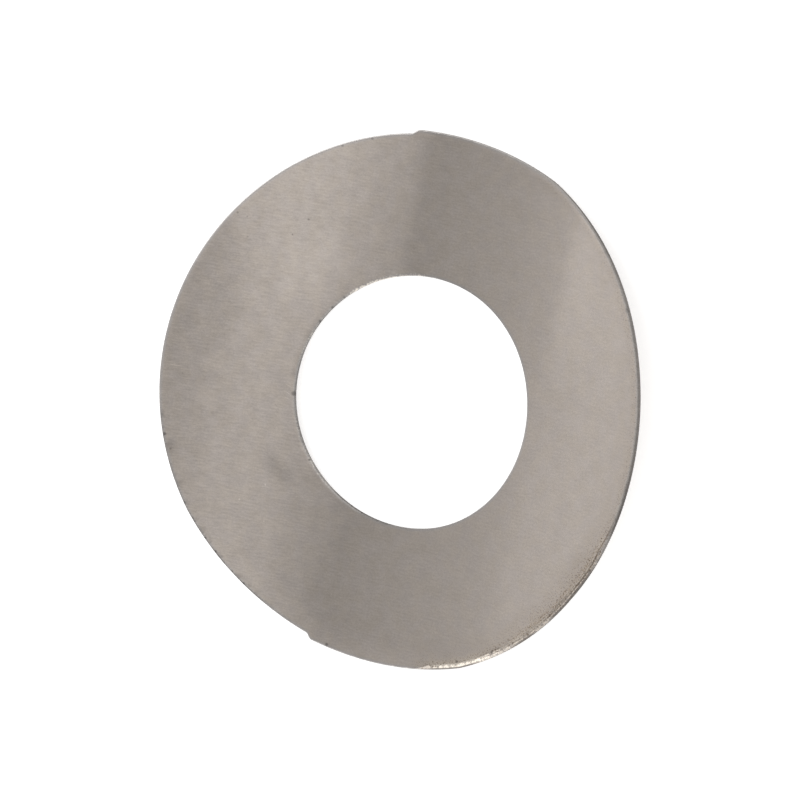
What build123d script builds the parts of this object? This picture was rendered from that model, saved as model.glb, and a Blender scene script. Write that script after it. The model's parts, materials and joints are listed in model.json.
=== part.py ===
from build123d import *
from build123d.topology import SkipClean
from math import ceil, cos, radians, sin, tan
import os

# Thin curved spring washer, bent about one axis and lying on its round back.
# Lengths are in mm. The origin is on the axis of the bore, in the plane that the washer lies on.
# +Z is up along the bore, +X is the way in which the washer curves up, and Y runs along the bend's axis.

# Strip
thickness = 0.15        # of the rolled strip
bend_radius = 25.4      # of the hollow upper face

# Hole
bore_radius = 4.8

# Outer edge, as it was sheared in the flat
outer_radius = 10.15    # nominal, from the axis of the bore
edge_roll = 0.06        # rounding that the punch leaves along the upper edge
tear_round = 0.1        # at the ends of a step
bite_round = 2.0        # where one bite of the punch runs into the next

# Corners of the outer edge: the angle from +X, how far the corner lies outside the nominal radius,
# and its rounding. At the two steps, bites from opposite sides fail to meet. The two on the left and
# the two on the right run into each other smoothly, so their corners have no rounding.
upper_step_outside = (101.9, 0.19, tear_round)
upper_step_inside = (103.2, 0.05, tear_round)
left_corner = (218.3, -0.105)
lower_step_inside = (256.4, -0.15, tear_round)
lower_step_outside = (257.4, 0.015, tear_round)
bottom_corner = (293.8, 0.045, bite_round)
lower_right_corner = (328.0, -0.15, bite_round)
right_corner = (18.7, -0.055)
upper_right_corner = (68.3, 0.15, bite_round)

# The bulge of a bite is how far the middle of its arc lies outside the mean of its two ends
left_bulge = -0.02
lower_left_bulge = -0.05
bottom_bulge = -0.05
lower_right_bulge = -0.04
right_bulge = 0.03
upper_right_bulge = -0.045
top_bulge = -0.085

# How the drawing is made, which changes no size of the washer
point_spacing = 1.0     # along the flat outline, of the points that carry it onto the bend
cut_margin = 1.0        # by which each cutting body passes what it cuts
bore_arcs = 8

bend_axis_height = bend_radius + thickness      # above the plane that the washer lies on
neutral_radius = bend_radius + thickness / 2    # of the layer that keeps its length in the bend
widest = outer_radius + upper_step_outside[1]
top = bend_axis_height - bend_radius * cos(widest / neutral_radius)


def polar(angle, excess):
    """A point of the flat outline, from its angle and how far it lies outside the nominal radius."""
    radius = outer_radius + excess
    return Vector(radius * cos(radians(angle)), radius * sin(radians(angle)))


def tear(start, end):
    """The straight step between two bites that fail to meet."""
    return Edge.make_line(polar(*start[:2]), polar(*end[:2]))


def bite(start, end, bulge):
    """One arc of the outline, counter-clockwise from corner to corner."""
    end_angle = end[0] if end[0] > start[0] else end[0] + 360
    middle = polar((start[0] + end_angle) / 2, (start[1] + end[1]) / 2 + bulge)
    return Edge.make_three_point_arc(polar(*start[:2]), middle, polar(*end[:2]))


def flat_outline():
    """The outer edge of the blank before it is bent, in its order round the washer."""
    outline = Wire([
        tear(upper_step_outside, upper_step_inside),
        bite(upper_step_inside, left_corner, left_bulge),
        bite(left_corner, lower_step_inside, lower_left_bulge),
        tear(lower_step_inside, lower_step_outside),
        bite(lower_step_outside, bottom_corner, bottom_bulge),
        bite(bottom_corner, lower_right_corner, lower_right_bulge),
        bite(lower_right_corner, right_corner, right_bulge),
        bite(right_corner, upper_right_corner, upper_right_bulge),
        bite(upper_right_corner, upper_step_outside, top_bulge),
    ])
    corners = [
        upper_step_outside, upper_step_inside, lower_step_inside, lower_step_outside,
        bottom_corner, lower_right_corner, upper_right_corner,
    ]
    for angle, excess, rounding in corners:
        corner = outline.vertices().sort_by_distance(polar(angle, excess))[0]
        outline = outline.fillet_2d(rounding, [corner])
    return outline.order_edges()


def bent_edge(flat_edge, reach, height):
    """A stretch of the flat outline where the sheared wall crosses one level of the bent washer."""
    spans = ceil(flat_edge.length / point_spacing) + 1
    points = []
    for number in range(spans + 1):
        flat = flat_edge @ (number / spans)
        points.append(Vector(reach * tan(flat.X / neutral_radius), flat.Y, height))
    ends = []
    for position in (0, 1):
        flat, way = flat_edge @ position, flat_edge % position
        stretch = reach / neutral_radius / cos(flat.X / neutral_radius) ** 2
        ends.append(Vector(stretch * way.X, way.Y))
    return Edge.make_spline(points, tangents=ends)


def bent_section(height):
    """The whole outline at one level. The wall stays square to the sheet in the bend, so each of its
    lines points at the bend's axis and draws nearer to the middle with height."""
    reach = bend_axis_height - height
    return Wire([bent_edge(flat_edge, reach, height) for flat_edge in flat_outline()])


def bent_sheet():
    """The strip in its bend, cut to the outline, with the punch's rounding along its upper edge."""
    width = 2 * (widest + cut_margin)
    tube = Cylinder(bend_axis_height, width) - Cylinder(bend_radius, width)
    strip = Pos(0, 0, bend_axis_height) * Rot(90, 0, 0) * tube
    block = Solid.make_loft([bent_section(-cut_margin), bent_section(top + cut_margin)], ruled=True)
    sheet = (strip & block).solid()
    upper_face = sheet.faces().filter_by(GeomType.CYLINDER).sort_by(lambda face: face.radius)[0]
    return sheet.fillet(edge_roll, upper_face.outer_wire().edges())


def bore_cutter():
    """A plain round cutter, drawn as arcs. The wall that it leaves rises and falls with the sheet,
    and as arcs each stretch of that wall has a height of its own."""
    arc_angle = 360 / bore_arcs
    arcs = []
    for number in range(bore_arcs):
        start = (number - 1 / 2) * arc_angle
        arcs.append(Edge.make_circle(bore_radius, start_angle=start, end_angle=start + arc_angle))
    disc = Pos(0, 0, -cut_margin) * Face(Wire(arcs))
    return Solid.extrude(disc, Vector(0, 0, top + 2 * cut_margin))


# Left as cut, so that the bore's arcs aren't merged into one face
with SkipClean():
    washer = (bent_sheet() - bore_cutter()).solid()

os.makedirs("parts", exist_ok=True)
washer.label = "curved_washer"
export_step(washer, "parts/curved_washer.step")
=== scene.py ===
import json
from math import cos, hypot, pi, radians, sin, sqrt

import bpy
import numpy as np
from mathutils import Matrix, Vector


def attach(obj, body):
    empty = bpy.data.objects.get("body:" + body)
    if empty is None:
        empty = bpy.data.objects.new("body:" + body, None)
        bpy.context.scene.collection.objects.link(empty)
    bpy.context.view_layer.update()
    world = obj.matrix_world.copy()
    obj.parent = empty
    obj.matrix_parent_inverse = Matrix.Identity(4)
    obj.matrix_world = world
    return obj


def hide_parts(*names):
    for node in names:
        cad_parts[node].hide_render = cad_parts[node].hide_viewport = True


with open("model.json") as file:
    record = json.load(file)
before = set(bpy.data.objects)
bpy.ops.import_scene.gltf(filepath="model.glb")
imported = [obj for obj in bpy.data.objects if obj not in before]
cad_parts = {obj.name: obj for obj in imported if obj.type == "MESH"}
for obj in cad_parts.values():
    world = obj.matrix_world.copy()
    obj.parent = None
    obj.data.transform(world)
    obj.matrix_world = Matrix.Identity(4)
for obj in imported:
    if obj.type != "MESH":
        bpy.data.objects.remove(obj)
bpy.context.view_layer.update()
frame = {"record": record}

# A thin curved spring washer lies on its round back. Blender's lengths are in metres, and the washer's
# own sizes are given here in millimetres, in the frame of the CAD model: the origin is on the axis of
# the bore, +Z is up, +X is the way in which the washer curves up, and Y runs along the bend's axis.
# Angles are in degrees, counter-clockwise from +X.
MM = 0.001

# The strip and its bend
bore_mount = next(mount for mount in frame["record"]["mounts"] if mount["kind"] == "bore")
bore_radius = bore_mount["dims"]["r_mm"]
thickness = 0.15
bend_radius = 25.4                              # of the hollow upper face
bend_axis_height = bend_radius + thickness
neutral_radius = bend_radius + thickness / 2    # of the layer that keeps its length in the bend

# The sheared outline of the flat blank: the angle of a corner, and how far it lies outside the nominal
# radius. The bulge of a bite is how far its middle lies outside the mean of its two ends.
outer_radius = 10.15
upper_step_outside = (101.9, 0.19)
upper_step_inside = (103.2, 0.05)
left_corner = (218.3, -0.105)
lower_step_inside = (256.4, -0.15)
lower_step_outside = (257.4, 0.015)
bottom_corner = (293.8, 0.045)
lower_right_corner = (328.0, -0.15)
right_corner = (378.7, -0.055)
upper_right_corner = (428.3, 0.15)
left_bulge = -0.02
lower_left_bulge = -0.05
bottom_bulge = -0.05
lower_right_bulge = -0.04
right_bulge = 0.03
upper_right_bulge = -0.045
top_bulge = -0.085
corner_blur = 0.25                              # degrees over which a corner is rounded

# The edges. The punch rolls the upper outer edge over, into a bevel where its tool is worn, and shears
# or breaks the rest of the wall. The slope of the roll is in degrees, from the face (0) to the wall (1).
roll_length = 0.065
roll_slope = [(0, 0), (1, 62)]
worn_arc = (285.0, 341.0, 4.0)                  # from, to, and the length of the change
worn_length = 0.27
worn_slope = [(0, 0), (0.15, 9), (0.4, 24), (0.9, 31), (1, 60)]
# The bore's upper edge is worn into a lip, given as (angle, width) round it
lip = [
    (40, 0.02), (80, 0.02), (100, 0.09), (118, 0.07), (137, 0.09), (140, 0.04), (180, 0.05), (196, 0.17),
    (230, 0.16), (252, 0.13), (262, 0.05), (280, 0.02), (330, 0.02), (345, 0.06), (360, 0.05), (380, 0.02),
]
lip_steepness = 0.3                             # its depth as a share of its width
bore_break = 0.03                               # its most depth, and the rounding of the bore's lower edge
lower_break = 0.006                             # rounding of the lower outer edge
# How uneven a length is: the share, the seed, and the fewest and the most waves round the washer
roll_waves = [(0.08, 1, 3, 40), (0.04, 2, 60, 300)]
lip_waves = [(0.15, 3, 3, 60)]
# The scores that shearing leaves on the wall, alike from ring to ring but not the same
score_depth = 0.002
score_waves = (200, 700, 60)                    # the fewest and the most round the washer, and how many
score_seed = 10
ring_seeds = (22, 25, 27, 30)
score_contrast = 0.5
ring_contrast = 0.5

# Marks of the tool and of dirt, and painted highlights and shade, as (angle, share) pairs that straight
# lines join round the washer
marks = {
    # where the worn bevel is polished, and painted as bright as its highlight
    "polished": [
        (285, 0), (288, 0.7), (290, 1), (297, 1), (300, 0.8), (314, 0.6), (316, 0.8), (319, 0.8), (321, 0.6),
        (338, 0.6), (344, 0),
    ],
    # how bright its grains of painted highlight are, and the painted glow round them
    "glossy": [(299, 1), (303, 0.5), (314, 0.5), (316, 0.35), (319, 0.35), (322, 0.6), (344, 0.6)],
    "blooming": [(283, 0), (288, 1), (299, 1), (303, 0), (308, 0), (314, 0.4), (320, 0)],
    # where a dark line lies between it and the edge
    "lined": [
        (284, 0), (288, 1), (296, 1), (300, 0.2), (308, 0.1), (311, 0.7), (314, 0.7), (316, 0), (320, 0),
        (322, 0.8), (335, 0.6), (339, 0),
    ],
    # where the bevel is pitted and dull
    "pitted": [(297, 0), (305, 0.4), (315, 1), (341, 1), (346, 0)],
    # where it is speckled brown
    "stained": [
        (281, 0), (285, 0.5), (300, 0.5), (309, 0.6), (318, 0.9), (336, 0.9), (350, 0.3), (430, 0.2),
        (436, 0),
    ],
    # where a dark seam lies inside the outer edge
    "seamed": [(318, 0), (322, 0.5), (330, 0.5), (333, 0.8), (346, 0.8), (350, 0)],
    # where dirt hangs in the brink of the outer edge
    "soiled": [
        (168, 0), (174, 0.15), (190, 0.2), (200, 0.8), (207, 0.6), (222, 1), (240, 1), (248, 0.4), (257, 0),
        (303, 0), (310, 0.1), (320, 0.2), (334, 0.3), (337, 0.1), (343, 0.1), (346, 0.6), (352, 0.5),
        (375, 0.2), (415, 0.4), (420, 0),
    ],
    # how pale the outer wall is
    "pale": [
        (160, 1), (190, 1), (200, 0.4), (240, 0.25), (252, 0.4), (270, 1), (300, 0.4), (308, 0), (336, 0),
        (340, 0.6), (344, 0.6), (348, 0), (350, 0), (375, 0.35), (400, 0.35), (412, 0.15), (424, 0.3),
        (440, 1),
    ],
    # painted highlight along the outer edge, wide and narrow
    "hazy": [(222, 0), (244, 0.7), (256, 1), (275, 1), (292, 0.5), (300, 0)],
    "lit": [
        (40, 0), (48, 0.3), (60, 0.7), (68, 0.8), (72, 0.7), (78, 0.3), (86, 0.4), (92, 0.2), (125, 0.1),
        (150, 0.4), (160, 0.7), (192, 0.6), (200, 0.1), (210, 0),
    ],
    # where the bore's wall is dark, and dirt hangs in its brink
    "sooty": [
        (40, 0), (50, 0.5), (104, 0.5), (116, 0), (138, 0.1), (143, 0.7), (156, 0.7), (164, 0.1), (176, 0.6),
        (184, 0.6), (190, 0.5), (212, 0.6), (217, 0.3), (236, 0.1), (240, 0.7), (250, 1), (268, 0.9),
        (274, 0.5), (286, 0.45), (292, 0.15), (296, 0.1), (302, 0.6), (321, 0.6), (328, 0),
    ],
    # where the bore's lip is rubbed, and painted as bright as its highlight
    "rubbed": [
        (96, 0), (100, 0.5), (116, 0.5), (120, 0.8), (135, 0.8), (138, 0.1), (154, 0.1), (162, 0.4),
        (172, 0.3), (178, 0), (196, 0), (204, 0.3), (218, 0.4), (232, 0.35), (238, 0),
    ],
    # painted shade on the face beside the bore
    "shaded": [
        (126, 0), (138, 0.35), (150, 0.35), (158, 0.8), (172, 0.8), (180, 0.3), (190, 0), (400, 0),
        (420, 0.2), (456, 0.2), (470, 0),
    ],
}
# How far inside the outer edge the seam lies, as (angle, distance)
seam = [
    (318, 0.16), (323, 0.16), (329, 0.175), (333, 0.10), (338, 0.09), (341, 0.15), (345, 0.085), (350, 0.06),
]

# The mesh
stations_round = 1800
support = 0.02                                  # from a rounded edge to the ring that keeps a face flat
face_stations = 10
roll_stations = 11
wall_stations = 5
break_stations = 4
lip_stations = 7
back_stations = 7
uv_width = 2.4 * outer_radius

around = np.arange(stations_round) * 360 / stations_round


def on_circle(angle, radius):
    return np.array([radius * cos(radians(angle)), radius * sin(radians(angle))])


def circle_through(a, b, c):
    """Centre and radius of the circle through three points."""
    turn = 2 * (a[0] * (b[1] - c[1]) + b[0] * (c[1] - a[1]) + c[0] * (a[1] - b[1]))
    squares = [p @ p for p in (a, b, c)]
    x = (squares[0] * (b[1] - c[1]) + squares[1] * (c[1] - a[1]) + squares[2] * (a[1] - b[1])) / turn
    y = (squares[0] * (c[0] - b[0]) + squares[1] * (a[0] - c[0]) + squares[2] * (b[0] - a[0])) / turn
    return np.array([x, y]), hypot(a[0] - x, a[1] - y)


def bite(start, end, bulge):
    """The outline's radius along one arc, as (first angle, last angle, function of the angle)."""
    middle = ((start[0] + end[0]) / 2, (start[1] + end[1]) / 2 + bulge)
    centre, radius = circle_through(*(on_circle(a, outer_radius + r) for a, r in (start, middle, end)))

    def reach(angle):
        along = centre @ on_circle(angle, 1.0)
        return along + sqrt(along ** 2 - centre @ centre + radius ** 2)
    return start[0], end[0], reach


def tear(start, end):
    """The same along the straight step between two bites that fail to meet."""
    a, b = (on_circle(angle, outer_radius + excess) for angle, excess in (start, end))

    def reach(angle):
        way = on_circle(angle, 1.0)
        return (a[0] * b[1] - a[1] * b[0]) / (way[0] * (b[1] - a[1]) - way[1] * (b[0] - a[0]))
    return start[0], end[0], reach


def outline():
    """The outer radius of the flat blank at each station round it, with its corners rounded."""
    stretches = [
        tear(upper_step_outside, upper_step_inside),
        bite(upper_step_inside, left_corner, left_bulge),
        bite(left_corner, lower_step_inside, lower_left_bulge),
        tear(lower_step_inside, lower_step_outside),
        bite(lower_step_outside, bottom_corner, bottom_bulge),
        bite(bottom_corner, lower_right_corner, lower_right_bulge),
        bite(lower_right_corner, right_corner, right_bulge),
        bite(right_corner, upper_right_corner, upper_right_bulge),
        bite(upper_right_corner, (upper_step_outside[0] + 360, upper_step_outside[1]), top_bulge),
    ]
    radii = np.zeros(stations_round)
    for number, angle in enumerate(around):
        if angle < upper_step_outside[0]:
            angle += 360
        reach = next(f for low, high, f in stretches if low <= angle <= high)
        radii[number] = reach(angle)
    blur = corner_blur * stations_round / 360
    offsets = np.arange(-int(3 * blur), int(3 * blur) + 1)
    weights = np.exp(-(offsets / blur) ** 2 / 2)
    weights /= weights.sum()
    return sum(weight * np.roll(radii, offset) for weight, offset in zip(weights, offsets))


def wander(seed, waves_low, waves_high, count=24):
    """A smooth random line round the washer, of about unit size, made of waves of a range of counts."""
    random = np.random.default_rng(seed)
    line = np.zeros(stations_round)
    for waves in random.integers(waves_low, waves_high, count):
        line += random.normal() * np.cos(np.radians(waves * around) + random.uniform(0, 2 * pi))
    return line / sqrt(count / 2)


def uneven(length, waves):
    """A length at each station, made uneven by waves."""
    for share, seed, low, high in waves:
        length = length * (1 + share * wander(seed, low, high))
    return length


def stretch(start, end, fade):
    """1 between two angles and 0 elsewhere, with a soft change at each."""
    middle, half = (start + end) / 2, (end - start) / 2
    away = np.abs((around - middle + 180) % 360 - 180)
    share = np.clip((half - away) / fade + 0.5, 0, 1)
    return share * share * (3 - 2 * share)


def profile(pairs):
    """A share at each station, along straight lines from pair to pair."""
    angles, shares = zip(*pairs)
    return np.interp((around - angles[0]) % 360 + angles[0], angles, shares)


def section():
    """The washer's cut section, from the bore outward over the upper face and back underneath. Each
    row gives, in millimetres at every station round the flat blank: the radius, the depth under the
    upper face, the distance in from the outer edge and the distance out from the bore."""
    rim = outline()
    wear = stretch(*worn_arc)
    shares = np.linspace(0, 1, roll_stations)
    plain, bevel = (np.interp(shares, *zip(*slope))[:, None] for slope in (roll_slope, worn_slope))
    slope = np.radians(plain + (bevel - plain) * wear)
    step = uneven((roll_length + (worn_length - roll_length) * wear) / (roll_stations - 1), roll_waves)
    across, down = (
        np.vstack([np.zeros(stations_round), np.cumsum((way[1:] + way[:-1]) / 2 * step, axis=0)])
        for way in (np.cos(slope), np.sin(slope)))
    rows = []

    def row(radius, depth, to_rim, to_bore):
        rows.append([np.broadcast_to(values, rim.shape) for values in (radius, depth, to_rim, to_bore)])

    # The upper face, between the lip and the roll
    lip_width = uneven(profile(lip), lip_waves)
    lip_depth = np.minimum(bore_break, lip_steepness * lip_width)
    inner = bore_radius + lip_width
    outer = rim - across[-1]
    row(inner, 0.0, rim - inner, inner - bore_radius)
    for share in np.linspace(0, 1, face_stations):
        radius = inner + support + (outer - inner - 2 * support) * share
        row(radius, 0.0, rim - radius, radius - bore_radius)
    for out, drop in zip(across, down):
        row(outer + out, drop, rim - outer - out, outer + out - bore_radius)

    # The outer wall, and the rounding under it
    score = wander(score_seed, *score_waves)
    for share, seed in zip(np.linspace(0, 1, wall_stations)[1:], ring_seeds):
        depths = 1 + score_contrast * (score + ring_contrast * wander(seed, *score_waves))
        inward = np.clip(score_depth * share * depths, 0, 3 * score_depth)
        row(rim - inward, drop + (thickness - lower_break - drop) * share, 0.0, rim - bore_radius)
    edge = rows[-1][0]
    for turn in np.linspace(0, pi / 2, break_stations)[1:]:
        radius = edge - lower_break * (1 - cos(turn))
        row(radius, thickness - lower_break * (1 - sin(turn)), rim - radius, radius - bore_radius)

    # The underside, and up the bore to its lip
    edge = rows[-1][0]
    inner = bore_radius + bore_break
    for share in np.linspace(1, 0, back_stations):
        radius = inner + support + (edge - inner - 2 * support) * share
        row(radius, thickness, rim - radius, radius - bore_radius)
    row(inner, thickness, rim - inner, inner - bore_radius)
    for turn in np.linspace(0, pi / 2, break_stations)[1:]:
        row(bore_radius + bore_break * (1 - sin(turn)), thickness - bore_break * (1 - cos(turn)), rim, 0.0)
    for turn in np.linspace(pi / 2, 0, lip_stations)[:-1]:
        radius = bore_radius + lip_width * (1 - sin(turn))
        row(radius, lip_depth * (1 - cos(turn)), rim - radius, radius - bore_radius)
    return rows


def bent(x, y, depth):
    """A point of the flat strip, carried onto the bend. Depth is down from the hollow upper face."""
    turn = x / neutral_radius
    radius = bend_radius + depth
    return np.stack([radius * np.sin(turn), y, bend_axis_height - radius * np.cos(turn)], axis=-1)


def washer_mesh():
    """The washer as rings of points. "flat" keeps each point's place in the flat strip, in
    millimetres, "to_rim" and "to_bore" its distances from the edges, "seam" where the seam lies, and
    the rest how much of each mark there is."""
    points, flats, rims, bores = [], [], [], []
    for radius, depth, to_rim, to_bore in section():
        x, y = radius * np.cos(np.radians(around)), radius * np.sin(np.radians(around))
        points.append(bent(x, y, depth) * MM)
        flats.append(np.stack([x, y, depth], axis=-1))
        rims.append(to_rim)
        bores.append(to_bore)
    ring = np.arange(stations_round)
    after = (ring + 1) % stations_round
    faces = []
    for number in range(len(points)):
        here = number * stations_round
        there = (number + 1) % len(points) * stations_round
        faces.append(np.stack([here + ring, there + ring, there + after, here + after], axis=-1))
    faces = np.concatenate(faces)
    flats = np.concatenate(flats)
    mesh = bpy.data.meshes.new("spring_washer")
    mesh.from_pydata(np.concatenate(points).tolist(), [], faces.tolist())
    mesh.shade_smooth()
    layers = {"to_rim": rims, "to_bore": bores}
    for name, pairs in {**marks, "seam": seam}.items():
        layers[name] = [profile(pairs)] * len(points)
    for name, values in layers.items():
        layer = mesh.attributes.new(name, "FLOAT", "POINT")
        layer.data.foreach_set("value", np.concatenate(values).astype(np.float32))
    layer = mesh.attributes.new("flat", "FLOAT_VECTOR", "POINT")
    layer.data.foreach_set("vector", flats.astype(np.float32).ravel())
    layout = mesh.uv_layers.new(name="strip")
    uv = flats[faces.ravel(), :2] / uv_width + 0.5
    layout.data.foreach_set("uv", uv.astype(np.float32).ravel())
    return mesh


class Nodes:
    """Short forms for building a node tree."""

    def __init__(self, tree):
        self.tree = tree
        tree.nodes.clear()

    def add(self, kind, **settings):
        node = self.tree.nodes.new(kind)
        for name, value in settings.items():
            setattr(node, name, value)
        return node

    def put(self, socket, value):
        if isinstance(value, bpy.types.NodeSocket):
            self.tree.links.new(value, socket)
        else:
            socket.default_value = value

    def math(self, operation, *values):
        node = self.add("ShaderNodeMath", operation=operation)
        for socket, value in zip(node.inputs, values):
            self.put(socket, value)
        return node.outputs[0]

    def attribute(self, name):
        return self.add("ShaderNodeAttribute", attribute_name=name)

    def ramp(self, value, low, high, start=0.0, end=1.0):
        """A soft change from start to end, as the value goes from low to high."""
        node = self.add("ShaderNodeMapRange", interpolation_type="SMOOTHSTEP")
        for socket, number in zip(node.inputs, (value, low, high, start, end)):
            self.put(socket, number)
        return node.outputs[0]

    def place(self, centre=(0.0, 0.0), size=(1.0, 1.0, 1.0), turn=0.0):
        """The place in the flat strip, as seen from a centre, turned, and counted in units of a size."""
        node = self.add("ShaderNodeMapping", vector_type="TEXTURE")
        self.put(node.inputs["Vector"], self.attribute("flat").outputs["Vector"])
        node.inputs["Location"].default_value = (*centre, 0.0)
        node.inputs["Rotation"].default_value = (0.0, 0.0, radians(turn))
        node.inputs["Scale"].default_value = size
        return node.outputs[0]

    def noise(self, name):
        """One of the finish's noises, about zero."""
        size, turn, detail, roughness = noises[name]
        node = self.add("ShaderNodeTexNoise")
        self.put(node.inputs["Vector"], self.place(size=size, turn=turn))
        node.inputs["Scale"].default_value = 1.0
        node.inputs["Detail"].default_value = detail
        node.inputs["Roughness"].default_value = roughness
        return self.math("SUBTRACT", node.outputs["Fac"], 0.5)

    def spot(self, centre, length, width, turn=0.0, core=0.3):
        """1 within the core of a spot of the upper face, and 0 from its length and width outward."""
        node = self.add("ShaderNodeVectorMath", operation="LENGTH")
        self.put(node.inputs[0], self.place(centre, (length, width, width), turn))
        return self.ramp(node.outputs["Value"], 1.0, core)

    def mix(self, share, first, second):
        node = self.add("ShaderNodeMix", data_type="RGBA")
        for socket, value in zip((node.inputs[0], node.inputs[6], node.inputs[7]), (share, first, second)):
            self.put(socket, value)
        return node.outputs[2]

    def scaled(self, colour, share):
        node = self.add("ShaderNodeVectorMath", operation="SCALE")
        self.put(node.inputs[0], colour)
        self.put(node.inputs["Scale"], share)
        return node.outputs[0]


# The strip's colours: rolled, in warm and cool patches and near its edges; burnished, painted as bright as
# its highlight, and the painted glow round that; tarnished, and the flecks and the seam in it; and its wall,
# from torn to smoothly drawn
steel_warm = (0.472, 0.421, 0.375, 1.0)
steel_cool = (0.468, 0.421, 0.385, 1.0)
steel_brink = (0.445, 0.42, 0.405, 1.0)
burnish_and_highlight = (0.95, 0.87, 0.77, 1.0)
# a painted glow round the bevel's bright band
glow = (0.85, 0.75, 0.60, 1.0)
tarnish = (0.37, 0.305, 0.24, 1.0)
brown = (0.14, 0.10, 0.07, 1.0)
torn = (0.160, 0.146, 0.135, 1.0)
drawn = (0.392, 0.362, 0.342, 1.0)

# The finish's noises: the size of their patches in the flat strip, their turn, detail and roughness
noises = {
    "grain": ((0.45, 0.07, 0.07), 3.5, 3.0, 0.6),       # long along the bend, fine across it
    "cloud": ((0.7, 0.7, 0.7), 0.0, 4.0, 0.65),
    "tint": ((0.5, 0.7, 0.5), 0.0, 2.0, 0.5),
    "pit": ((0.08, 0.08, 0.08), 0.0, 1.0, 0.6),
    "grit": ((0.08, 0.08, 0.08), 0.0, 2.0, 0.6),
    "pepper": ((0.06, 0.06, 0.06), 0.0, 2.0, 0.6),
    "dirt": ((0.35, 0.35, 0.35), 0.0, 2.0, 0.6),
    "grime": ((0.3, 0.3, 0.3), 0.0, 1.0, 0.5),
    "streak": ((0.03, 0.03, 0.4), 0.0, 3.0, 0.6),       # down the wall
}

# A reach is a pair of distances, at which a mark ends and at which it is whole. They are from an edge,
# or from the mark's own middle where that is said. A level is such a pair for the value of a noise.

# The rolled face
cloud_share = 0.9                               # beside the grain
grain_from, grain_to = -7.0, 3.0                # places on X, between which the grain grows fainter
grain_strong, grain_faint = 0.42, 0.22
pit_share = 0.25
tint_level = (-0.12, 0.12)
brink_reach = (0.16, 0.02)
# Painted highlights and painted shade along an edge: its mark, its edge, how far it reaches and how much
# lighter the face is there
painted_edge_light = [("hazy", "to_rim", 1.0, 0.13), ("lit", "to_rim", 0.3, 0.24), ("shaded", "to_bore", 0.35, -0.2)]
# Soft patches of painted light and shade, and dark smudges of dirt (place, length, width, turn, how much
# lighter)
light_patches_and_smudges = [
    # the first six: painted light and shade
    ((-4.9, 4.1), 2.4, 1.5, 60.0, 0.10), ((-8.0, 2.2), 3.6, 1.3, 90.0, -0.07),
    ((-4.4, -4.0), 1.6, 1.0, -35.0, -0.04), ((6.0, 1.5), 3.0, 1.1, 90.0, -0.05),
    ((8.5, -4.3), 1.6, 0.9, 60.0, -0.06), ((-2.3, -7.6), 2.6, 0.9, 75.0, -0.04),
    # the rest: smudges of dirt
    ((-9.62, -2.85), 0.4, 0.2, 73.0, -0.12), ((-9.62, -2.75), 0.3, 0.15, 73.0, -0.12),
    ((-9.01, -3.92), 0.45, 0.28, 60.0, -0.12), ((-9.1, -3.8), 0.3, 0.2, 60.0, -0.12),
    ((-4.9, -3.75), 1.3, 0.6, -35.0, -0.12), ((-4.95, -0.08), 0.3, 0.2, 90.0, -0.12),
]
# Fine scratches, in the same form
scratches = [
    ((-5.06, -0.61), 0.22, 0.03, -20.0, 0.15), ((-5.02, -0.90), 0.18, 0.03, -25.0, 0.15),
    ((-5.00, -1.10), 0.15, 0.03, -15.0, 0.15), ((-9.42, -0.81), 0.40, 0.03, 3.0, 0.22),
    ((-8.40, -0.83), 0.22, 0.03, 1.0, -0.14), ((-8.28, -0.75), 0.16, 0.03, -2.0, 0.14),
    ((-7.72, -2.32), 0.12, 0.04, 9.0, -0.14), ((-5.38, -1.46), 0.10, 0.04, -43.0, -0.12),
    ((-5.29, -1.71), 0.09, 0.04, -5.0, -0.12),
]
# Specks of dirt, and a few bright ones whose depth is negative (place, radius, depth)
specks = [
    ((-8.33, 5.44), 0.06, 0.35), ((-7.93, 5.37), 0.05, 0.25), ((-5.61, 5.78), 0.06, 0.35),
    ((-6.10, 5.08), 0.05, 0.35), ((-7.77, 4.62), 0.05, 0.2), ((-4.91, 8.84), 0.08, 0.3),
    ((-3.83, 9.37), 0.08, 0.3), ((-9.35, -3.49), 0.09, 0.5), ((-9.01, -4.01), 0.06, 0.3),
    ((-8.10, -5.95), 0.10, 0.5), ((-7.03, -7.12), 0.10, 0.5), ((-6.51, -7.51), 0.07, 0.5),
    ((-5.21, -8.49), 0.10, 0.6), ((-1.49, -9.94), 0.09, 0.45), ((5.42, -8.33), 0.08, 0.45),
    ((3.98, -9.10), 0.08, 0.45), ((-3.63, 3.20), 0.07, 0.45), ((-4.00, 2.72), 0.08, 0.45),
    ((-4.37, 2.09), 0.08, 0.45), ((-3.67, -3.20), 0.07, 0.45), ((-4.79, -0.86), 0.14, 0.45),
    ((-1.66, -4.50), 0.06, 0.45), ((-1.19, -4.65), 0.06, 0.45), ((8.89, 4.81), 0.12, 0.1),
    ((8.27, 5.79), 0.12, 0.25), ((-9.15, -1.05), 0.05, 0.2), ((-5.15, -4.55), 0.05, -0.3),
    ((-6.02, -5.33), 0.05, -0.3), ((-4.92, -5.94), 0.04, -0.2),
]

# Tarnish inside the worn bevel
stain_reach = (0.6, 0.22)
faint_stain_reach = (1.4, 0.4)
faint_stain_share = 0.4
stain_level = (-0.12, 0.12)
stain_least, stain_most = 0.1, 0.9
fleck_gain = 0.06                               # how many more flecks there are where the stain is whole
fleck_level = (0.09, 0.15)
fleck_share = 0.9
flecked_stain = (0.0, 0.6)                      # between which shares of the stain the flecks appear
seam_wander = 0.06
seam_reach = (0.04, 0.01)                       # from its middle
seam_share = 0.8

# Burnished metal on the worn bevel, painted as bright as its highlight: a whole band at first, and then two
# rows of grains with a valley between
band_reach = (0.25, 0.16)
band_wander = 0.2
gap_reach = (0.075, 0.045)                      # of the dark line outside the band
valley_place = 0.12
valley_reach = (0.035, 0.01)                    # from its middle
valley_depth = 1.2
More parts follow.
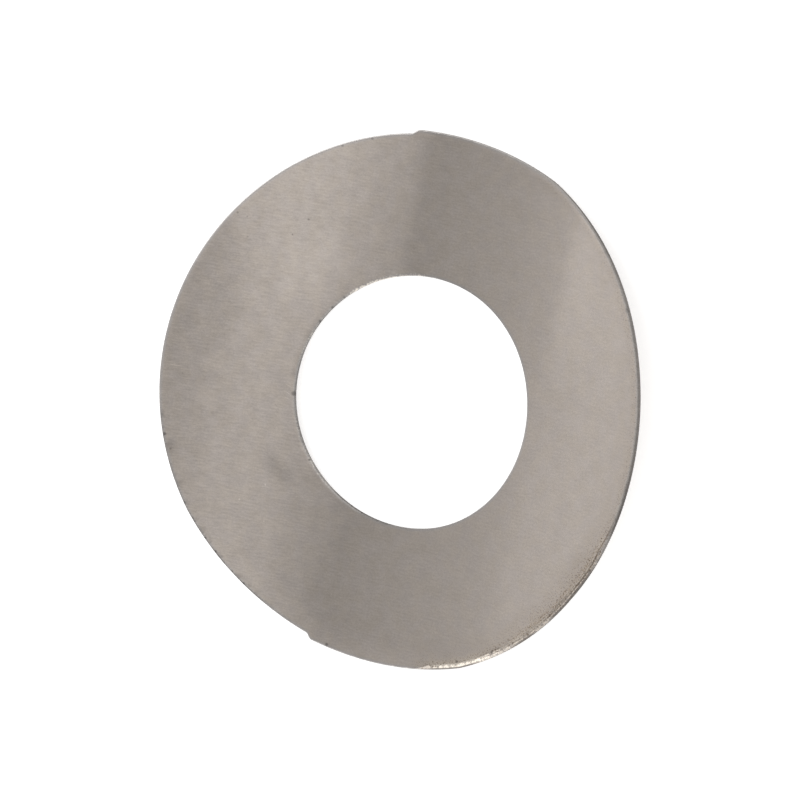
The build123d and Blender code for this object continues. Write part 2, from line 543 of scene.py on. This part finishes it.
# a brighter patch of the painted highlight
cluster = ((7.34, -6.64), 0.55)                 # a brighter patch (place, radius)
cluster_share = 0.6
bright_gain = 0.32                              # how many more grains there are where the band is bright
bright_level = (0.1, 0.26)
bright_share = (0.0, 0.8)                       # between which shares of the band its grains turn bright
# the painted glow round the bright band
bloom_reach = (0.5, 0.2)
bloom_share = 0.18
# The same on the bore's lip
rub_reach = (0.12, 0.05)
rub_gain = 0.1
rub_level = (0.0, 0.16)

# The cut walls, and the dirt in their brinks
wall_reach = (0.006, 0.0)
line_reach = (0.07, 0.04)
line_share = 0.9
dirt_wander = 0.15
dirt_reach = (0.085, 0.03)
dirt_level = (-0.08, 0.08)
dirt_least, dirt_most = 0.4, 1.0
bore_wall_reach = (0.01, 0.0)
soot_reach = (0.05, 0.0)
soot_share = 0.7
sooty_wall = (0.9, 0.1)                         # between which shares of soot the bore's wall turns pale
bore_zone = (0.5, 0.3)                          # within which a wall is the bore's
streak_share = 1.2
grime_reach = (0.35, 0.03)
grime_level = (-0.02, 0.12)
grime_share = 0.2

# Gloss, and the relief of the bevel
polish = 0.15                                   # roughness of the rolled face
dullness = 0.3                                  # how much rougher cut or pitted metal is
anisotropy = 0.95
anisotropy_turn = 0.25                          # as a share of a whole turn
bevel_reach = (0.3, 0.2)
pitted_relief = 0.6
polished_relief = 0.3
grit_height = 0.02


def rolled_face(n, layer):
    """The colour of the rolled face, with its grain, tints, patches of painted light and shade, smudges and
    scratches, and painted highlights and shade along its edges.
    """
    flat = n.add("ShaderNodeSeparateXYZ")
    n.put(flat.inputs[0], n.attribute("flat").outputs["Vector"])
    strength = n.ramp(flat.outputs["X"], grain_from, grain_to, grain_strong, grain_faint)
    tone = n.math("MULTIPLY_ADD", n.noise("cloud"), cloud_share, n.noise("grain"))
    tone = n.math("MULTIPLY", tone, strength)
    tone = n.math("MULTIPLY_ADD", n.noise("pit"), pit_share, tone)
    # soft patches of painted light and shade, and smudges of dirt
    for centre, length, width, turn, amount in light_patches_and_smudges:
        tone = n.math("MULTIPLY_ADD", n.spot(centre, length, width, turn, core=0.0), amount, tone)
    for centre, length, width, turn, amount in scratches:
        tone = n.math("MULTIPLY_ADD", n.spot(centre, length, width, turn), amount, tone)
    # painted highlights along the outer edge and painted shade beside the bore
    for name, edge, reach, amount in painted_edge_light:
        edge_light = n.ramp(layer[edge], reach, 0.0, 0.0, amount)
        tone = n.math("MULTIPLY_ADD", layer[name], edge_light, tone)
    metal = n.mix(n.ramp(n.noise("tint"), *tint_level), steel_warm, steel_cool)
    to_edge = n.math("MINIMUM", layer["to_rim"], layer["to_bore"])
    metal = n.mix(n.ramp(to_edge, *brink_reach), metal, steel_brink)
    return n.scaled(metal, n.math("ADD", tone, 1.0))


def tarnished(n, layer, grit, colour):
    """Adds the tarnish, which fades inward from the worn bevel, with its flecks and its dark seam."""
    to_rim = layer["to_rim"]
    reach = n.math("MAXIMUM", n.ramp(to_rim, *stain_reach),
                   n.ramp(to_rim, *faint_stain_reach, 0.0, faint_stain_share))
    stain = n.math("MULTIPLY", layer["stained"], reach)
    share = n.math("MULTIPLY", stain, n.ramp(grit, *stain_level, stain_least, stain_most))
    colour = n.mix(share, colour, tarnish)
    flecks = n.math("MULTIPLY_ADD", stain, fleck_gain, n.noise("pepper"))
    flecks = n.ramp(flecks, *fleck_level, 0.0, fleck_share)
    colour = n.mix(n.math("MULTIPLY", flecks, n.ramp(stain, *flecked_stain)), colour, brown)
    line = n.math("SUBTRACT", n.math("MULTIPLY_ADD", grit, seam_wander, to_rim), layer["seam"])
    line = n.ramp(n.math("ABSOLUTE", line), *seam_reach, 0.0, seam_share)
    return n.mix(n.math("MULTIPLY", layer["seamed"], line), colour, brown)


def brightness(n, layer, grit):
    """How bright each grain of the worn bevel is painted, as burnished metal brightened into its highlight.
    """
    to_rim, polished = layer["to_rim"], layer["polished"]
    gap = n.math("MULTIPLY", layer["lined"], n.ramp(to_rim, *gap_reach))
    band = n.ramp(n.math("MULTIPLY_ADD", grit, band_wander, to_rim), *band_reach)
    band = n.math("MULTIPLY", band, n.math("SUBTRACT", 1.0, gap))
    valley = n.ramp(n.math("ABSOLUTE", n.math("SUBTRACT", to_rim, valley_place)), *valley_reach)
    valley = n.math("MULTIPLY", valley, n.math("SUBTRACT", 1.0, polished))
    place, radius = cluster
    patch = n.math("MULTIPLY", n.spot(place, radius, radius, core=0.0), cluster_share)
    bright = n.math("MAXIMUM", n.math("MULTIPLY_ADD", valley, -valley_depth, polished), patch)
    bright = n.math("MULTIPLY", bright, band)
    grains = n.ramp(n.math("MULTIPLY_ADD", bright, bright_gain, grit), *bright_level)
    grains = n.math("MULTIPLY", grains, layer["glossy"])
    return n.math("MULTIPLY", grains, n.ramp(bright, *bright_share))


def add_burnish_and_highlights(n, layer, grit, bright, colour):
    """Adds the burnished metal of the worn bevel and of the bore's lip, painted as bright as their
    highlights, with a painted glow round the bevel's band.
    """
    # a painted glow round the bright band
    bloom = n.math("MULTIPLY", layer["blooming"], n.ramp(layer["to_rim"], *bloom_reach, 0.0, bloom_share))
    colour = n.mix(bright, n.mix(bloom, colour, glow), burnish_and_highlight)
    # the bore's rubbed lip, with its painted highlight
    rubbed = n.math("MULTIPLY", layer["rubbed"], n.ramp(layer["to_bore"], *rub_reach))
    grains = n.ramp(n.math("MULTIPLY_ADD", rubbed, rub_gain, grit), *rub_level)
    return n.mix(n.math("MULTIPLY", rubbed, grains), colour, burnish_and_highlight)


def cut_share(n, layer, grit):
    """1 on the cut walls, and less where dirt hangs in their brinks."""
    to_rim, to_bore = layer["to_rim"], layer["to_bore"]
    dirt = n.ramp(n.math("MULTIPLY_ADD", grit, dirt_wander, to_rim), *dirt_reach)
    dirt = n.math("MULTIPLY", dirt, n.ramp(n.noise("dirt"), *dirt_level, dirt_least, dirt_most))
    dirt = n.math("MULTIPLY", dirt, layer["soiled"])
    line = n.math("MULTIPLY", layer["lined"], n.ramp(to_rim, *line_reach, 0.0, line_share))
    rim = n.math("MAXIMUM", n.ramp(to_rim, *wall_reach), n.math("MAXIMUM", dirt, line))
    soot = n.ramp(n.math("MULTIPLY_ADD", grit, dirt_wander, to_bore), *soot_reach, 0.0, soot_share)
    soot = n.math("MULTIPLY", layer["sooty"], soot)
    bore = n.math("MAXIMUM", n.ramp(to_bore, *bore_wall_reach), soot)
    return n.math("MAXIMUM", rim, bore)


def cut_colour(n, layer):
    """The colour of the cut walls, with streaks down them."""
    near_bore = n.ramp(layer["to_bore"], *bore_zone)
    pale_rim = n.math("MULTIPLY", layer["pale"], n.math("SUBTRACT", 1.0, near_bore))
    pale = n.math("MULTIPLY_ADD", n.ramp(layer["sooty"], *sooty_wall), near_bore, pale_rim)
    streaks = n.math("MULTIPLY_ADD", n.noise("streak"), streak_share, 1.0)
    return n.scaled(n.mix(pale, torn, drawn), streaks)


def cleanness(n, layer):
    """What grime along the rim and specks of dirt leave of a colour."""
    grime = n.math("MULTIPLY", layer["soiled"], n.ramp(n.noise("grime"), *grime_level))
    grime = n.math("MULTIPLY", grime, n.ramp(layer["to_rim"], *grime_reach, 0.0, grime_share))
    clean = n.math("SUBTRACT", 1.0, grime)
    for centre, radius, depth in specks:
        clean = n.math("MULTIPLY_ADD", n.spot(centre, radius, radius), -depth, clean)
    return clean


def steel_material():
    material = bpy.data.materials.new("rolled_steel")
    material.use_nodes = True
    n = Nodes(material.node_tree)
    layer = {name: n.attribute(name).outputs["Fac"] for name in ("to_rim", "to_bore", "seam", *marks)}
    grit = n.noise("grit")
    bright = brightness(n, layer, grit)
    cut = cut_share(n, layer, grit)
    colour = tarnished(n, layer, grit, rolled_face(n, layer))
    colour = add_burnish_and_highlights(n, layer, grit, bright, colour)
    colour = n.mix(cut, colour, cut_colour(n, layer))
    bevel = n.ramp(layer["to_rim"], *bevel_reach)
    dull = n.math("MULTIPLY", layer["pitted"], bevel)
    dull = n.math("MULTIPLY", dull, n.math("SUBTRACT", 1.0, bright))
    rough = n.math("MAXIMUM", cut, dull)

    shader = n.add("ShaderNodeBsdfPrincipled")
    n.put(shader.inputs["Base Color"], n.scaled(colour, cleanness(n, layer)))
    n.put(shader.inputs["Roughness"], n.math("MULTIPLY_ADD", rough, dullness, polish))
    tangent = n.add("ShaderNodeTangent", direction_type="UV_MAP", uv_map="strip")
    n.put(shader.inputs["Tangent"], tangent.outputs[0])
    shader.inputs["Metallic"].default_value = 1.0
    shader.inputs["Anisotropic"].default_value = anisotropy
    shader.inputs["Anisotropic Rotation"].default_value = anisotropy_turn

    bump = n.add("ShaderNodeBump")
    relief = n.math("MULTIPLY", layer["polished"], polished_relief)
    relief = n.math("MULTIPLY_ADD", layer["pitted"], pitted_relief, relief)
    n.put(bump.inputs["Height"], n.math("MULTIPLY", grit, n.math("MULTIPLY", relief, bevel)))
    bump.inputs["Distance"].default_value = grit_height * MM
    n.put(shader.inputs["Normal"], bump.outputs[0])
    output = n.add("ShaderNodeOutputMaterial")
    n.put(output.inputs[0], shader.outputs[0])
    return material


washer = bpy.data.objects.new("spring_washer", washer_mesh())
bpy.context.scene.collection.objects.link(washer)
washer.data.materials.append(steel_material())
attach(washer, "root")
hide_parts("curved_washer")


# The floor is white to the camera and in reflections, and keeps the washer's soft shadow
floor_size = 1.0            # in metres
floor_colour = (0.9, 0.9, 0.9, 1.0)
floor_glow = 0.58           # to the camera
floor_sheen = 0.35          # in reflections


def make_floor():
    half = floor_size / 2
    corners = [(-half, -half, 0), (half, -half, 0), (half, half, 0), (-half, half, 0)]
    mesh = bpy.data.meshes.new("floor")
    mesh.from_pydata(corners, [], [(0, 1, 2, 3)])
    floor = bpy.data.objects.new("floor", mesh)
    bpy.context.scene.collection.objects.link(floor)
    material = bpy.data.materials.new("floor")
    material.use_nodes = True
    n = Nodes(material.node_tree)
    path = n.add("ShaderNodeLightPath")
    mirrored = n.math("MAXIMUM", path.outputs["Is Glossy Ray"], path.outputs["Is Transmission Ray"])
    emission = n.add("ShaderNodeEmission")
    strength = n.math("MULTIPLY", path.outputs["Is Camera Ray"], floor_glow)
    n.put(emission.inputs["Strength"], n.math("MULTIPLY_ADD", mirrored, floor_sheen, strength))
    diffuse = n.add("ShaderNodeBsdfDiffuse")
    diffuse.inputs["Color"].default_value = floor_colour
    both = n.add("ShaderNodeAddShader")
    n.put(both.inputs[0], diffuse.outputs[0])
    n.put(both.inputs[1], emission.outputs[0])
    output = n.add("ShaderNodeOutputMaterial")
    n.put(output.inputs[0], both.outputs[0])
    mesh.materials.append(material)


make_floor()

# A pale tent round the washer, with strips of light and shade that run along the bend's axis. Each
# stop is the strip's angle from straight up, positive towards -X, and its brightness.
tent = [
    (-90, 0.60), (-60, 0.60), (-42, 0.55), (-30, 0.56), (-22, 0.63), (-15, 0.73), (-9, 0.82), (-5, 0.83),
    (1, 0.79), (4, 0.705), (10, 0.605), (14, 0.54), (16, 0.538), (21, 0.58), (27, 0.615), (38, 0.68),
    (43.3, 0.745), (45.3, 0.815), (50, 0.84), (56, 0.885), (90, 0.89),
]


def make_tent():
    world = bpy.data.worlds.new("tent")
    bpy.context.scene.world = world
    world.use_nodes = True
    n = Nodes(world.node_tree)
    axes = n.add("ShaderNodeSeparateXYZ")
    n.put(axes.inputs[0], n.add("ShaderNodeTexCoord").outputs["Generated"])
    angle = n.math("ARCTAN2", n.math("MULTIPLY", axes.outputs["X"], -1.0), axes.outputs["Z"])
    ramp = n.add("ShaderNodeValToRGB")
    n.put(ramp.inputs[0], n.math("MULTIPLY_ADD", angle, 1 / (2 * pi), 0.5))
    stops = ramp.color_ramp.elements
    while len(stops) < len(tent):
        stops.new(0.5)
    for stop, (place, level) in zip(stops, tent):
        stop.position = place / 360 + 0.5
        stop.color = (level, level, level, 1.0)
    background = n.add("ShaderNodeBackground")
    n.put(background.inputs["Color"], ramp.outputs[0])
    output = n.add("ShaderNodeOutputWorld")
    n.put(output.inputs[0], background.outputs[0])


make_tent()

# Soft panels hang over the washer and lighten its +Y half: the angle from straight up towards -X, the
# distance, the two ends across the bend, the two ends along Y, and the brightness as a share of white.
# Panels at one distance don't overlap, because the nearer one would hide the other.
panels = {
    "left_panel": (0.0, 35.0, (-0.6, 10.7), (-3.1, 40.0), 0.165),
    "right_edge": (53.0, 35.0, (-14.1, -9.7), (0.0, 40.0), 0.045),
    "right_strip": (53.0, 35.0, (-9.7, -6.8), (-2.6, 40.0), 0.165),
    "right_panel": (53.0, 35.0, (-6.8, 12.0), (-2.6, 40.0), 0.09),
}
# Softboxes stand low at both ends of the bend's axis and at the left, and show only in the rolled
# edges: the azimuth, the elevation, the width, the height and the brightness
softboxes = {
    "front_box": (280.0, 30.0, 320.0, 220.0, 0.95),
    "back_box": (88.0, 34.0, 240.0, 150.0, 0.15),
    "left_box": (141.0, 30.0, 240.0, 150.0, 1.4),
}
softbox_distance = 300.0


def make_lamp(name, place, width, height, level):
    """A rectangular lamp in the XY plane of its place, in millimetres, which shines along -Z."""
    data = bpy.data.lights.new(name, "AREA")
    data.shape = "RECTANGLE"
    data.size = width * MM
    data.size_y = height * MM
    data.energy = level * pi * data.size * data.size_y
    lamp = bpy.data.objects.new(name, data)
    place.translation *= MM
    lamp.matrix_world = place
    bpy.context.scene.collection.objects.link(lamp)


def make_lamps():
    for name, (angle, distance, across, along, level) in panels.items():
        middle = Vector((-sum(across) / 2, sum(along) / 2, distance))
        place = Matrix.Rotation(radians(-angle), 4, "Y") @ Matrix.Translation(middle)
        make_lamp(name, place, across[1] - across[0], along[1] - along[0], level)
    for name, (azimuth, elevation, width, height, level) in softboxes.items():
        flat_way = cos(radians(elevation))
        way = Vector((*(flat_way * on_circle(azimuth, 1.0)), sin(radians(elevation))))
        place = Matrix.Translation(way * softbox_distance) @ way.to_track_quat("Z", "Y").to_matrix().to_4x4()
        make_lamp(name, place, width, height, level)


make_lamps()

# The camera looks down on the washer from its right
tip_up = radians(4.93)
tip_right = radians(-23.324)
turn_round = radians(-12.79)
camera_offset = Vector((-0.5738, 0.0934, 378.44)) * MM
sensor_width = 36.0
view_width = 30.275 * MM                        # at the washer's distance
clip_start = 0.01                               # in metres
clip_end = 10.0


def make_camera():
    tip = Matrix.Rotation(tip_up, 3, "X") @ Matrix.Rotation(tip_right, 3, "Y")
    back = (tip @ Matrix.Rotation(turn_round, 3, "Z")).transposed()
    data = bpy.data.cameras.new("camera")
    data.sensor_width = sensor_width
    data.lens = sensor_width * camera_offset.z / view_width
    data.clip_start = clip_start
    data.clip_end = clip_end
    camera = bpy.data.objects.new("camera", data)
    place = back @ camera_offset + Vector((0, 0, thickness * MM))
    camera.matrix_world = Matrix.Translation(place) @ back.to_4x4()
    bpy.context.scene.collection.objects.link(camera)
    bpy.context.scene.camera = camera


make_camera()
bpy.context.scene.view_settings.view_transform = "Standard"
